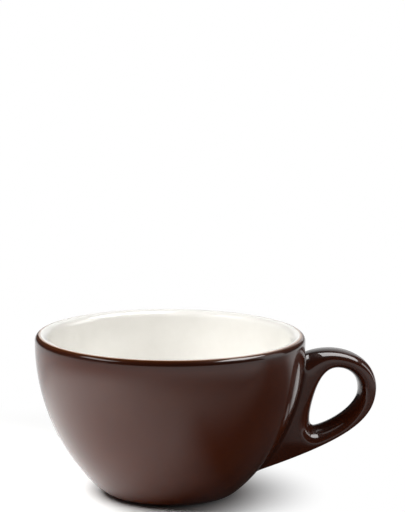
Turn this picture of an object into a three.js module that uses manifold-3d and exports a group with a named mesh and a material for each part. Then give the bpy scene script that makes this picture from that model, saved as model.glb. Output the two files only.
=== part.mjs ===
// A bowl-shaped cappuccino cup in thick porcelain. The bowl and the loop handle are cast apart and luted
// together with slip. The inside is then glazed white, over the lip, and the outside and the handle brown,
// with a bare ring left under the foot. Millimetres, +Z up: the foot stands on z = 0, the handle is at +X.
import * as THREE from "three";
import { mergeVertices } from "three/addons/utils/BufferGeometryUtils.js";
import Module from "manifold-3d";

const wasm = await Module();
wasm.setup();

// Bowl, measured over the glaze
const RIM_RADIUS = 50; // outside of the wall just under the lip
const CUP_HEIGHT = 60;
const WALL = 5;
const LIP_ROUND = 2.2; // outer edge of the lip
const FOOT_RADIUS = 20.2; // outer edge of the foot's bare ring
const FOOT_RING = 3.2; // width of the bare ring
const FOOT_ROUND = 8.5; // turn from the wall into the foot
const FOOT_SLOPE = 38.5; // degrees, the wall just above that turn
const FOOT_RECESS = 2; // hollow inside the bare ring
const RECESS_TAPER = 1.4; // how far the hollow narrows upwards
const FLOOR = 6; // clay between the hollow and the inside
const FLOOR_FLAT = 6; // radius of the inside's flat middle
const FLOOR_TURN = 5.2; // height of the inside's turn from wall to floor

// Coats and joint
const GLAZE = 0.4;
const SLIP = 0.6; // luting slip between bowl and handle
const HAIRLINE = 0.05; // left open between bonded layers
const LIP_LINE = 68; // degrees up the lip's outer edge, where brown meets white
const FOOT_LINE = 10; // degrees up the turn of the foot, where the brown stops
const RECESS_LINE = 0.6; // height above the table where the glaze of the hollow stops

// Handle, measured over the glaze
const HANDLE_OUT = 27.6; // how far it stands out beyond the rim's radius
const HANDLE_BREADTH = 12;
const ROOT_DROP = 10.4; // upper arm's root below the lip
const KNEE_DROP = 21.3; // furthest point below the lip
const HOLE_DROP = 22.5; // the finger hole's furthest point below the lip
const HEEL_HEIGHT = 7; // lower root above the table
const ARM = 6.3; // outer limb, measured in the loop's plane
const ARM_TOP = 7.2; // upper limb
const LEG = 7.4; // limb along the bowl's wall
const LEG_LEAN = 13; // degrees, edge of the finger hole beside the wall
const TIP_WEB = 8.3; // web under the finger hole's lower tip
const TIP_SHIFT = 1.6; // tip out from the limb's edge
const CORE_BREADTH = 1; // middle of the breadth that isn't rounded
const EDGE_ROUND = 1.2; // rounding of the outer edges
const EDGE_ROUND_TOP = 3.4; // the same on top of the upper arm
const EDGE_ROUND_ROOT = 7; // the same where the upper arm meets the wall
const ROOT_REACH = 11; // how far out from the wall that last rounding runs
const HOLE_ROUND = 2; // rounding of the finger hole's edges
const HOLE_ROUND_TIP = 6.6; // the same at the lower tip
const FACE_LEFT = 0.3; // flat face left between the roundings of both edges
const HEEL_ROUND = 3; // corners of the lower root's end
const ROOT_FILLET = 2; // turn from the handle into the wall
const BURIED = 4; // how far the handle's outline runs on into the wall, where the bowl cuts it off

// Fullness of the curves, as shares of the spans that they cross
const UPPER_PULL = 0.49; // wall: height over which it stays near upright
const LOWER_PULL = 0.53; // wall: overhang over which it keeps the foot's slope
const ARM_REACH = 0.47; // handle: upper arm, out towards the knee
const ARM_LIFT = 0.73; // handle: upper arm, up from its root
const KNEE_LIFT = 1.11; // handle: up from the knee
const KNEE_FALL = 0.4; // handle: down from the knee
const HEEL_REACH = 0.783; // handle: out from the heel
const HEEL_LIFT = 0.36; // handle: up from the heel
const LEG_SHARE = 0.56; // hole: height of the point that LEG is measured at, between heel and top
const PEAK_SHARE = 0.45; // hole: its highest point, between rim and knee
const CROWN_OUT = 0.54; // hole: level stretch outwards from its highest point
const CROWN_IN = 0.58; // hole: level stretch inwards from its highest point
const SHOULDER = 0.57; // hole: upright stretch up from its furthest point
const BELLY = 0.45; // hole: upright stretch down from its furthest point
const LEG_RISE = 0.5; // hole: straight stretch up along the wall
const LEG_FALL = 0.82; // hole: straight stretch down along the wall
const TIP_REACH = 0.4; // hole: out from its lower tip
const TIP_LIFT = 0.1; // hole: up from its lower tip
const TIP_BACK = 0.13; // hole: back from its lower tip towards the wall
const RIDGE = 0.15; // hole: bluntness of the ridge between the two slopes of its lower limb
const SLOPE_SHARE = 0.7; // hole: part of the rounding there that the slopes take
const TURN_POWER = 20; // hole: how quickly the slopes turn into the faces

// Facets
const TURN_STEPS = 44;
const WALL_STEPS = 8;
const ARC_STEPS = 3;
const OUTLINE_STEPS = 40;
const HOLE_STEPS = 8; // to each quarter of the finger hole
const SIDE_STEPS = 8;
const ROUND_ANGLES = [90, 62, 35, 0]; // degrees round a handle edge, from a face to the breadth's middle
const FLARE_SHARES = [0, 0.1, 0.35, 0.7, 1]; // of the root's turn, from the wall outwards
const SAMPLES = 400; // on a curve that is searched
const WELD = 1e-4; // points closer than this are one

const v2 = (x, y) => new THREE.Vector2(x, y);
const radians = THREE.MathUtils.degToRad;
const lerp = THREE.MathUtils.lerp;

// Bowl profiles: radius across, height up

// The curve of the outside between lip and foot, from the top down.
const lipDepth = Math.max(LIP_ROUND, WALL - LIP_ROUND);
const slope = v2(Math.cos(radians(FOOT_SLOPE)), Math.sin(radians(FOOT_SLOPE)));
const wallTop = v2(RIM_RADIUS, CUP_HEIGHT - lipDepth);
const wallEnd = v2(FOOT_RADIUS + FOOT_ROUND * slope.y, FOOT_ROUND * (1 - slope.x));
const wallCurve = new THREE.CubicBezierCurve(
  wallTop,
  v2(wallTop.x, wallTop.y - UPPER_PULL * (wallTop.y - wallEnd.y)),
  wallEnd.clone().addScaledVector(slope, LOWER_PULL * (wallTop.x - wallEnd.x)),
  wallEnd,
);

const wallSamples = wallCurve.getPoints(SAMPLES);

// A point of that curve, moved inwards by a depth.
function wallPoint(share, depth) {
  const tangent = wallCurve.getTangent(share);
  return wallCurve.getPoint(share).add(v2(tangent.y * depth, -tangent.x * depth));
}

// Points on an arc about a centre, from one angle to another in degrees.
function arc(centre, radius, from, to, steps) {
  return Array.from({ length: steps + 1 }, (_, i) => {
    const angle = radians(lerp(from, to, i / steps));
    return v2(centre.x + radius * Math.cos(angle), centre.y + radius * Math.sin(angle));
  });
}

// The outside at a depth below the glazed surface, from an angle on the lip down to one on the foot's turn.
function outside(depth, lipAngle, footAngle) {
  const lip = arc(
    v2(RIM_RADIUS - LIP_ROUND, CUP_HEIGHT - LIP_ROUND), LIP_ROUND - depth, lipAngle, 0, ARC_STEPS,
  );
  const wall = Array.from({ length: WALL_STEPS }, (_, i) => wallPoint(i / WALL_STEPS, depth));
  const foot = arc(
    v2(FOOT_RADIUS, FOOT_ROUND), FOOT_ROUND - depth, FOOT_SLOPE - 90, footAngle - 90, ARC_STEPS,
  );
  if (lipDepth === LIP_ROUND) lip.pop();
  return [...lip, ...wall, ...foot];
}

// The inside at a depth below the glazed surface, from the lip's crest down to the middle of the floor.
const floorHeight = FOOT_RECESS + FLOOR;
const floorStart = wallSamples.findLastIndex(
  (_, i) => wallPoint(i / SAMPLES, WALL).y > floorHeight + FLOOR_TURN,
) / SAMPLES;
function inside(depth) {
  const thickness = WALL - depth;
  const round = WALL - LIP_ROUND;
  const lip = arc(v2(RIM_RADIUS - LIP_ROUND, CUP_HEIGHT - round), round - depth, 90, 180, ARC_STEPS);
  const steps = WALL_STEPS - 1;
  const wall = Array.from({ length: steps }, (_, i) => wallPoint((floorStart * (i + 1)) / steps, thickness));
  const start = wall.at(-1);
  const tangent = wallCurve.getTangent(floorStart);
  const level = floorHeight - depth;
  const corner = start.clone().addScaledVector(tangent, (level - start.y) / tangent.y);
  const turn = new THREE.QuadraticBezierCurve(start, corner, v2(FLOOR_FLAT, level));
  return [...lip, ...wall, ...turn.getPoints(ARC_STEPS).slice(1), v2(0, level)];
}

// The hollow under the foot at a depth above its glazed surface, from the middle out to a height on its side.
const ringInner = FOOT_RADIUS - FOOT_RING;
function hollow(depth, edgeHeight) {
  const roof = FOOT_RECESS + depth;
  const corner = v2(ringInner - GLAZE + depth - RECESS_TAPER, roof);
  const edge = v2(ringInner - GLAZE + depth, 0).lerp(corner, edgeHeight / roof);
  return [v2(0, roof), corner, edge];
}

// Geometry and solids

// A closed turned form. Its profile runs anticlockwise, with the axis on its left when it goes up.
function turned(profile) {
  const geometry = new THREE.LatheGeometry(profile, TURN_STEPS);
  return geometry.rotateX(Math.PI / 2);
}

// A turned shell between two profiles that run the same way.
function turnedShell(outer, inner) {
  const loop = [...outer, ...inner.slice().reverse()];
  const onAxis = loop[0].x === 0 || loop.at(-1).x === 0;
  return turned(onAxis ? loop : [...loop, loop[0].clone()]);
}

// A closed form through rings of points that follow each other, each ring with as many points.
function lofted(rings, capOutline) {
  const count = rings[0].length;
  const positions = rings.flat().flatMap((p) => [p.x, p.y, p.z]);
  const index = [];
  for (let k = 0; k + 1 < rings.length; k++) {
    for (let i = 0; i < count; i++) {
      const a = k * count + i;
      const b = k * count + ((i + 1) % count);
      index.push(a, b + count, b, a, a + count, b + count);
    }
  }
  const last = (rings.length - 1) * count;
  for (const [a, b, c] of THREE.ShapeUtils.triangulateShape(capOutline, [])) {
    index.push(a, b, c, last + a, last + c, last + b);
  }
  const geometry = new THREE.BufferGeometry();
  geometry.setAttribute("position", new THREE.Float32BufferAttribute(positions, 3));
  return geometry.setIndex(index);
}

function solid(geometry) {
  const bare = new THREE.BufferGeometry();
  bare.setAttribute("position", geometry.getAttribute("position"));
  bare.setIndex(geometry.index);
  const merged = mergeVertices(bare, WELD);
  return new wasm.Manifold(
    new wasm.Mesh({
      numProp: 3,
      vertProperties: merged.getAttribute("position").array,
      triVerts: new Uint32Array(merged.index.array),
    }),
  );
}

function geometryOf(made) {
  const mesh = made.getMesh();
  const geometry = new THREE.BufferGeometry();
  geometry.setAttribute("position", new THREE.BufferAttribute(mesh.vertProperties, 3));
  geometry.setIndex(new THREE.BufferAttribute(mesh.triVerts, 1));
  return geometry.toNonIndexed();
}

// The bowl's whole outer form, filled, at a depth below the glazed surface.
function filledBowl(depth) {
  const profile = outside(depth, 90, 0);
  return solid(turned([v2(0, profile[0].y), ...profile, v2(0, profile.at(-1).y)].reverse()));
}

// Handle outlines in the loop's plane: distance from the bowl's axis across, height up

// The outside's radius at a height.
function wallRadius(height) {
  const i = wallSamples.findIndex((p) => p.y <= height);
  const [above, below] = [wallSamples[i - 1], wallSamples[i]];
  return THREE.MathUtils.mapLinear(height, above.y, below.y, above.x, below.x);
}

const root = v2(RIM_RADIUS - BURIED, CUP_HEIGHT - ROOT_DROP);
const knee = v2(RIM_RADIUS + HANDLE_OUT, CUP_HEIGHT - KNEE_DROP);
const heel = v2(wallRadius(HEEL_HEIGHT), HEEL_HEIGHT);
const rise = root.y - knee.y;
const drop = knee.y - heel.y;
const upperLimb = new THREE.CubicBezierCurve(
  root,
  v2(lerp(root.x, knee.x, ARM_REACH), root.y + ARM_LIFT * rise),
  v2(knee.x, knee.y + KNEE_LIFT * rise),
  knee,
);
const lowerLimb = new THREE.CubicBezierCurve(
  knee,
  v2(knee.x, knee.y - KNEE_FALL * drop),
  v2(lerp(heel.x, knee.x, HEEL_REACH), heel.y + HEEL_LIFT * drop),
  heel,
);
const heelEnd = heel.clone().addScaledVector(lowerLimb.getTangent(1), BURIED);
const upperEdge = upperLimb.getPoints(SAMPLES);
const lowerEdge = lowerLimb.getPoints(SAMPLES).reverse();
const loopTop = Math.max(...upperEdge.map((p) => p.y));

// The loop's outer outline, anticlockwise, closed inside the wall.
const loopPath = new THREE.CurvePath();
loopPath.add(new THREE.LineCurve(heelEnd, heel));
loopPath.add(new THREE.CubicBezierCurve(heel, lowerLimb.v2, lowerLimb.v1, knee));
loopPath.add(new THREE.CubicBezierCurve(knee, upperLimb.v2, upperLimb.v1, root));
const loopOutline = loopPath.getSpacedPoints(OUTLINE_STEPS - 1);

// The finger hole's outline, anticlockwise, at its narrowest in the middle of the breadth.
const legHeight = lerp(heel.y, loopTop, LEG_SHARE);
const lean = v2(Math.sin(radians(LEG_LEAN)), Math.cos(radians(LEG_LEAN)));
const legEdge = v2(wallRadius(legHeight) + LEG, legHeight);
const tipX = legEdge.x + TIP_SHIFT;
const tip = v2(tipX, lowerEdge.find((p) => p.x >= tipX).y + TIP_WEB);
const holeRight = v2(knee.x - ARM, CUP_HEIGHT - HOLE_DROP);
const holeTop = v2(lerp(RIM_RADIUS, knee.x, PEAK_SHARE), loopTop - ARM_TOP);
const tipSpan = holeRight.clone().sub(tip);
const holePath = new THREE.CurvePath();
holePath.add(new THREE.CubicBezierCurve(
  holeRight,
  v2(holeRight.x, lerp(holeRight.y, holeTop.y, SHOULDER)),
  v2(lerp(holeTop.x, holeRight.x, CROWN_OUT), holeTop.y),
  holeTop,
));
holePath.add(new THREE.CubicBezierCurve(
  holeTop,
  v2(lerp(holeTop.x, legEdge.x, CROWN_IN), holeTop.y),
  legEdge.clone().addScaledVector(lean, LEG_RISE * (holeTop.y - legEdge.y)),
  legEdge,
));
holePath.add(new THREE.CubicBezierCurve(
  legEdge,
  legEdge.clone().addScaledVector(lean, -LEG_FALL * (legEdge.y - tip.y)),
  tip.clone().sub(v2(TIP_BACK * tipSpan.x, (TIP_BACK * TIP_LIFT * tipSpan.y) / TIP_REACH)),
  tip,
));
holePath.add(new THREE.CubicBezierCurve(
  tip,
  tip.clone().add(v2(TIP_REACH * tipSpan.x, TIP_LIFT * tipSpan.y)),
  v2(holeRight.x, lerp(holeRight.y, tip.y, BELLY)),
  holeRight,
));
const holeOutline = holePath.getPoints(HOLE_STEPS).slice(0, -1);

// Moves each point of an anticlockwise outline outwards by the distance given for it and its direction there.
// An open outline's end points take the direction of their end, not that across the join.
function grown(outline, distanceAt, open) {
  const last = outline.length - 1;
  return outline.map((p, i) => {
    const before = open && i === 0 ? p : outline.at(i - 1);
    const after = open && i === last ? p : outline[(i + 1) % outline.length];
    const along = after.clone().sub(before).normalize();
    return p.clone().add(v2(along.y, -along.x).multiplyScalar(distanceAt(p, along)));
  });
}

// How much of the outer edge is rounded away at a face: more on top of the upper arm, most at its root.
const share01 = (value) => THREE.MathUtils.clamp(value, 0, 1);
function edgeRound(p) {
  const up = share01((p.y - knee.y) / (loopTop - knee.y));
  const nearRoot = share01((RIM_RADIUS + ROOT_REACH - p.x) / ROOT_REACH);
  return lerp(EDGE_ROUND, lerp(EDGE_ROUND_TOP, EDGE_ROUND_ROOT, nearRoot ** 2), up);
}

// The same for the hole's edge: most at the lower tip, short of the outer edge's rounding.
function holeRound(p) {
  const down = share01((holeTop.y - p.y) / (holeTop.y - tip.y));
  const limb = Math.min(...[...upperEdge, ...lowerEdge].map((q) => p.distanceTo(q)));
  return Math.min(lerp(HOLE_ROUND, HOLE_ROUND_TIP, down ** 2), limb - EDGE_ROUND - FACE_LEFT);
}

// The hole's lower limb slopes to each face instead: the part of its drop at a share of the half breadth.
function slopeDrop(out) {
  const ridge = (Math.hypot(out, RIDGE) - RIDGE) / (Math.hypot(1, RIDGE) - RIDGE);
  const turn = 1 - Math.sqrt(1 - out ** TURN_POWER);
  return lerp(turn, ridge, SLOPE_SHARE);
}

// Places across the breadth, with the share of the rounding that each has.
const crossSteps = ROUND_ANGLES.map((angle) => ({
  out: Math.sin(radians(angle)),
  share: 1 - Math.cos(radians(angle)),
}));
function across(halfBreadth) {
  const half = crossSteps.map(({ out, share }) => ({
    y: lerp(CORE_BREADTH / 2, halfBreadth, out),
    share,
  }));
  return [...half.map(({ y, share }) => ({ y: -y, share })), ...half.toReversed()];
}

// The loop at a depth below its glazed surface, running on into the bowl.
function loop(depth) {
  const ring = (outline, y) => outline.map((p) => new THREE.Vector3(p.x, y, p.y));
  const steps = across(HANDLE_BREADTH / 2 - depth);
  const body = steps.map(({ y, share }) =>
    ring(grown(loopOutline, (p) => -depth - share * edgeRound(p), true), y));
  const hole = steps.map(({ y, share }) => {
    const drop = slopeDrop(Math.abs(y) / (HANDLE_BREADTH / 2 - depth));
    const sizeAt = (p, along) => depth + holeRound(p) * lerp(share, drop, Math.max(0, along.x));
    return ring(grown(holeOutline, sizeAt, false), y);
  });
  const beyond = (end, y) => end.map((p) => new THREE.Vector3(p.x, y, p.z));
  hole.unshift(beyond(hole[0], -HANDLE_BREADTH));
  hole.push(beyond(hole.at(-1), HANDLE_BREADTH));
  return solid(lofted(body, loopOutline)).subtract(solid(lofted(hole, holeOutline)));
}

// Handle root: rings of points laid on the wall, each further out and narrower than the one before

// For each point of a limb's edge, the height of the wall nearest to it and how far it stands off the wall.
function seatsOf(edge) {
  const inner = wallSamples.slice(1, -1);
  return edge.map((p) => {
    const near = inner.reduce((best, q) => (p.distanceTo(q) < p.distanceTo(best) ? q : best));
    const i = wallSamples.indexOf(near);
    const along = wallSamples[i + 1].clone().sub(wallSamples[i - 1]).normalize();
    const away = p.clone().sub(near);
    return { height: near.y + along.y * away.dot(along), off: along.x * away.y - along.y * away.x };
  });
}
const upperSeats = seatsOf(upperEdge);
const lowerSeats = seatsOf(lowerEdge);
const rootRound = edgeRound(upperEdge[upperSeats.findIndex((seat) => seat.off >= ROOT_FILLET)]);

// The height on the wall of the place where a limb's edge first stands a distance off it.
function seatHeight(seats, off) {
  const i = Math.max(1, seats.findIndex((seat) => seat.off >= off));
  const [before, after] = [seats[i - 1], seats[i]];
  return THREE.MathUtils.mapLinear(off, before.off, after.off, before.height, after.height);
}

// The place on the wall at a height, a sideways distance and a distance off its glazed surface.
function overWall(height, sideways, off) {
  const i = wallSamples.findIndex((p) => p.y <= height);
  const along = wallSamples[i].clone().sub(wallSamples[i - 1]).normalize();
  const radius = wallRadius(height) - along.y * off;
  const z = height + along.x * off;
  return new THREE.Vector3(Math.sqrt(radius ** 2 - sideways ** 2), sideways, z);
}

// The root's flare at a depth below its glazed surface, from inside the wall out to the plain limbs.
function rootFlare(depth) {
  const radius = ROOT_FILLET + depth;
  const offs = FLARE_SHARES.map((share) => share * radius - depth);
  const flareAt = (off) => ROOT_FILLET - Math.sqrt(Math.max(0, radius ** 2 - (ROOT_FILLET - off) ** 2));
  const ring = (off, flare) => {
    const top = seatHeight(upperSeats, Math.max(off, 0)) + flare;
    const low = seatHeight(lowerSeats, Math.max(off, 0)) - flare;
    const ends = across(HANDLE_BREADTH / 2 + flare);
    const upper = ends.map(({ y, share }) => [top - share * rootRound, y]);
    const lower = ends.map(({ y, share }) => [low + share * HEEL_ROUND, y]).reverse();
    const side = (from, to) => Array.from({ length: SIDE_STEPS - 1 }, (_, i) => {
      const share = (i + 1) / SIDE_STEPS;
      return [lerp(from[0], to[0], share), lerp(from[1], to[1], share)];
    });
    const outline = [
      ...upper, ...side(upper.at(-1), lower[0]), ...lower, ...side(lower.at(-1), upper[0]),
    ];
    return outline.map(([height, y]) => ({ height, y, off }));
  };
  const rings = [
    ring(-BURIED, ROOT_FILLET),
    ...offs.map((off) => ring(off, flareAt(off))),
    ring(ROOT_FILLET + HAIRLINE, -depth - 2 * HAIRLINE),
  ];
  const cap = rings[0].map(({ height, y }) => v2(-y, height));
  const placed = rings.map((points) => points.map(({ height, y, off }) => overWall(height, y, off)));
  return solid(lofted(placed, cap));
}

// Pieces

const brownGlaze = new THREE.MeshStandardMaterial({ color: 0x4a2a20, roughness: 0.12, metalness: 0 });
const whiteGlaze = new THREE.MeshStandardMaterial({ color: 0xf3f0e8, roughness: 0.12, metalness: 0 });
const porcelain = new THREE.MeshStandardMaterial({ color: 0xe9e3d8, roughness: 0.75, metalness: 0 });
const driedSlip = new THREE.MeshStandardMaterial({ color: 0xded6c8, roughness: 0.85, metalness: 0 });

function piece(name, geometry, material) {
  const mesh = new THREE.Mesh(geometry, material);
  mesh.name = name;
  return mesh;
}

// The cast bowl: hollow foot, bare ring, outside, lip, inside.
function bowl() {
  const under = hollow(GLAZE, 0);
  const up = outside(GLAZE, 90, FOOT_LINE).reverse();
  return turned([...under, v2(FOOT_RADIUS, 0), ...up, ...inside(GLAZE).slice(1)]);
}

// The cast handle, standing off the bowl by the slip that bonds it.
function handle() {
  return geometryOf(loop(GLAZE + HAIRLINE).subtract(filledBowl(GLAZE - HAIRLINE - SLIP)));
}

// The slip: a pad under the handle's root, wiped into a fillet round it.
function handleSlip() {
  const seated = loop(GLAZE).subtract(filledBowl(GLAZE - SLIP));
  const pad = rootFlare(GLAZE + HAIRLINE).subtract(filledBowl(GLAZE - HAIRLINE));
  return geometryOf(pad.subtract(seated));
}

// White glaze from the line on the lip, over the crest and down the inside.
function innerGlaze() {
  const gap = THREE.MathUtils.radToDeg(HAIRLINE / LIP_ROUND);
  const lipCentre = v2(RIM_RADIUS - LIP_ROUND, CUP_HEIGHT - LIP_ROUND);
  const coat = (depth) => [
    ...arc(lipCentre, LIP_ROUND - depth, LIP_LINE + gap, 90, ARC_STEPS - 1),
    ...inside(depth).slice(1),
  ];
  return turnedShell(coat(0), coat(GLAZE - HAIRLINE));
}

// Brown glaze from the line on the lip to just above the bare ring, open where the handle is luted on.
function outerGlaze() {
  const coat = (depth) => outside(depth, LIP_LINE, FOOT_LINE);
  const shell = solid(turnedShell(coat(GLAZE - HAIRLINE), coat(0)));
  return geometryOf(shell.subtract(loop(GLAZE)).subtract(rootFlare(GLAZE)));
}

// Brown glaze over the handle and down its root fillet to the bowl.
function handleGlaze() {
  const skin = loop(0).add(rootFlare(0)).subtract(filledBowl(-HAIRLINE));
  return geometryOf(skin.subtract(loop(GLAZE)).subtract(rootFlare(GLAZE)));
}

// Brown glaze in the hollow of the foot.
function baseGlaze() {
  return turnedShell(hollow(0, RECESS_LINE), hollow(GLAZE - HAIRLINE, RECESS_LINE));
}

const cup = new THREE.Group();
cup.add(
  piece("bowl", bowl(), porcelain),
  piece("handle", handle(), porcelain),
  piece("handle_slip", handleSlip(), driedSlip),
  piece("inner_glaze", innerGlaze(), whiteGlaze),
  piece("outer_glaze", outerGlaze(), brownGlaze),
  piece("handle_glaze", handleGlaze(), brownGlaze),
  piece("base_glaze", baseGlaze(), brownGlaze),
);
// The frame's origin is on the table, in the middle of the cup's whole length.
cup.position.x = (RIM_RADIUS - knee.x) / 2;

const part = new THREE.Group();
part.add(cup);
export default part;
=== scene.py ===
# %% [markdown]
# # A cappuccino cup in brown and white glaze
#
# This lesson dresses a plain CAD cup with smooth glazed surfaces. The frame holds the CAD pieces at their
# real size, in metres, with the foot standing on z = 0 and the handle at +X. Everything made here goes
# exactly where the frame says, so the first step is to load it.

# %% Load the frame
import bisect
import math
from itertools import repeat

import bmesh
import bpy
from mathutils import Matrix, Vector
from mathutils.geometry import interpolate_bezier


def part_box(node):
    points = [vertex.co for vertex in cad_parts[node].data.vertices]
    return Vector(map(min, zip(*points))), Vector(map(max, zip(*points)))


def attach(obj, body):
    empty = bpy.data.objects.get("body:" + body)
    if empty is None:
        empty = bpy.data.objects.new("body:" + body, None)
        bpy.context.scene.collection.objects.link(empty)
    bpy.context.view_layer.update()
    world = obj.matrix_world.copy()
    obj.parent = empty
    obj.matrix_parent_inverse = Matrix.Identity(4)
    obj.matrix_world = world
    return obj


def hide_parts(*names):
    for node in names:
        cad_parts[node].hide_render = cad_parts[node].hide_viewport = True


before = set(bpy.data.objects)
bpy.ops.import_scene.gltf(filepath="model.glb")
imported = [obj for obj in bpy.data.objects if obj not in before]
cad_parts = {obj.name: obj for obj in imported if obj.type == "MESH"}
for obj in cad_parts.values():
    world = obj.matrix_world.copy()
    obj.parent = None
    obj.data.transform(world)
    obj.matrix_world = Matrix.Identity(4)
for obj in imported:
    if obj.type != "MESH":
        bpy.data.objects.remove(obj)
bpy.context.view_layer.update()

# %% [markdown]
# The main sizes are read off the CAD pieces instead of being typed again: the coat on the outside gives
# the bowl's axis and radius, the white coat its height, and the coat of the handle how far the loop
# reaches.

# %% Read the main sizes
outer_low, outer_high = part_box("outer_glaze")
AXIS = Vector(((outer_low[0] + outer_high[0]) / 2, 0, 0))
RIM_RADIUS = (outer_high[0] - outer_low[0]) / 2
CUP_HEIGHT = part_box("inner_glaze")[1][2]
HANDLE_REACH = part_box("handle_glaze")[1][0] - AXIS.x
print(f"bowl {2 * RIM_RADIUS:.4f} across and {CUP_HEIGHT:.4f} high, handle reaches {HANDLE_REACH:.4f}")

# %% [markdown]
# ## The bowl's section
#
# A thrown or cast bowl is the same all the way round, so half of its section says everything about its
# shape. The wall could be drawn as a row of points, but one Bezier curve with two pulls is easier to
# change and has no bumps to show up in the reflections. It runs from the lip down to the turn of the
# foot. All sections lie in the XZ plane, with x as the distance from the axis.

# %% Wall curve
WALL = 0.005  # thickness
LIP_ROUND = 0.0022  # outer edge of the lip
FOOT_RADIUS = 0.0202  # outside of the ring that the cup stands on
FOOT_ROUND = 0.0085  # turn from that ring up into the wall
FOOT_SLOPE = 38.5  # degrees, the wall just above the turn of the foot
UPPER_PULL = 0.49  # share of the height over which the wall stays near upright
LOWER_PULL = 0.53  # share of the overhang over which it keeps the foot's slope

slope = Vector((math.cos(math.radians(FOOT_SLOPE)), 0, math.sin(math.radians(FOOT_SLOPE))))
wall_top = Vector((RIM_RADIUS, 0, CUP_HEIGHT - (WALL - LIP_ROUND)))
wall_end = Vector((FOOT_RADIUS + FOOT_ROUND * slope.z, 0, FOOT_ROUND * (1 - slope.x)))


def wall_points(count):
    """Points on the outside of the wall, from the top down."""
    upper_pull = wall_top - Vector((0, 0, UPPER_PULL * (wall_top.z - wall_end.z)))
    lower_pull = wall_end + slope * (LOWER_PULL * (wall_top.x - wall_end.x))
    return interpolate_bezier(wall_top, upper_pull, lower_pull, wall_end, count)


print("wall from", tuple(round(c, 4) for c in wall_top), "to", tuple(round(c, 4) for c in wall_end))

# %% [markdown]
# Two helpers draw the rest of every section: an arc, and a copy of a line moved sideways. Moving the
# wall's line sideways gives the inside of the wall and the underside of a coat of glaze, so all layers
# stay parallel.

# %% Section helpers
ARC_STEPS = 12


def arc(centre, radius, start, stop):
    """Points on an arc, from one angle to another in degrees."""
    angles = [math.radians(start + (stop - start) * i / ARC_STEPS) for i in range(ARC_STEPS + 1)]
    return [centre + Vector((radius * math.cos(a), 0, radius * math.sin(a))) for a in angles]


def ways_of(points, closed=False):
    """The direction of a line at each of its points."""
    last = len(points) - 1
    ways = []
    for i in range(len(points)):
        before = points[i - 1] if closed or i > 0 else points[0]
        after = points[(i + 1) % len(points)] if closed or i < last else points[last]
        ways.append((after - before).normalized())
    return ways


def beside(points, distances, closed=False):
    """The points moved to the right of their way, each by its own distance."""
    ways = ways_of(points, closed)
    return [p + Vector((way.z, 0, -way.x)) * d for p, way, d in zip(points, ways, distances)]


print("a line moved aside:", beside([Vector((0, 0, 1)), Vector((0, 0, 0))], repeat(WALL))[0])

# %% [markdown]
# The lip is rounded with a small radius outside and a larger one inside. The white glaze comes over the
# crest and stops on the outer edge, where the brown starts. Below, the brown stops just above the ring
# that the cup stands on, because glaze that touched the kiln shelf would stick to it. A bevel could round
# the lip, but arcs keep both radii exact and give each coat an angle to stop at.

# %% Outside and inside lines
WALL_STEPS = 48
FLOOR_HEIGHT = 0.008
FLOOR_FLAT = 0.006  # radius of the level middle
FLOOR_TURN = 0.0052  # height of the turn from wall to floor
TURN_PULL = 2 / 3  # share of the way to the corner at which that turn's pulls lie
lip_centre = Vector((RIM_RADIUS - LIP_ROUND, 0, CUP_HEIGHT - LIP_ROUND))
inner_round = WALL - LIP_ROUND
inner_lip_centre = Vector((RIM_RADIUS - LIP_ROUND, 0, CUP_HEIGHT - inner_round))


def outside(depth, lip_angle, foot_angle):
    """The outside at a depth, from an angle on the lip down to one on the turn of the foot."""
    foot_centre = Vector((FOOT_RADIUS, 0, FOOT_ROUND))
    lip = arc(lip_centre, LIP_ROUND - depth, lip_angle, 0)
    wall = beside(wall_points(WALL_STEPS), repeat(depth))
    foot = arc(foot_centre, FOOT_ROUND - depth, FOOT_SLOPE - 90, foot_angle - 90)
    return lip + wall + foot[1:]


def inside(depth):
    """The inside at a depth, from the crest of the lip down to the middle of the floor."""
    level = FLOOR_HEIGHT - depth
    lip = arc(inner_lip_centre, inner_round - depth, 90, 180)
    wall = beside(wall_points(WALL_STEPS), repeat(WALL - depth))
    wall = [p for p in wall if p.z > level + FLOOR_TURN]
    way = wall[-1] - wall[-2]
    corner = wall[-1] + way * ((level - wall[-1].z) / way.z)
    flat = Vector((FLOOR_FLAT, 0, level))
    wall_pull = wall[-1].lerp(corner, TURN_PULL)
    flat_pull = flat.lerp(corner, TURN_PULL)
    turn = interpolate_bezier(wall[-1], wall_pull, flat_pull, flat, ARC_STEPS)
    return lip + wall[1:] + turn[1:] + [Vector((0, 0, level))]


print(len(outside(0, 90, 0)), "points outside and", len(inside(0)), "inside")

# %% [markdown]
# ## Turning the bowl and its coats
#
# The spin operator turns a section into a solid, as a potter's wheel does. A full turn needs use_merge,
# so that the last copy closes on the first. The points on the axis become many points in one place, so
# doubles are merged before the normals are worked out. Edges that are sharper than a limit stay crisp,
# the rest shades smoothly. A Screw modifier would do as well, but the operator leaves a plain mesh whose
# vertices can be measured and numbered later.

# %% Turning helpers
TURN_STEPS = 192
WELD = 1e-6  # points closer than this become one
CRISP = math.radians(35)  # edges sharper than this stay crisp


def finished(name, bm):
    """A smooth-shaded object from a bmesh, in the scene."""
    mesh = bpy.data.meshes.new(name)
    bm.to_mesh(mesh)
    bm.free()
    mesh.shade_smooth()
    mesh.set_sharp_from_angle(angle=CRISP)
    piece = bpy.data.objects.new(name, mesh)
    bpy.context.scene.collection.objects.link(piece)
    print(name, "has", len(mesh.polygons), "faces")
    return piece


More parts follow.
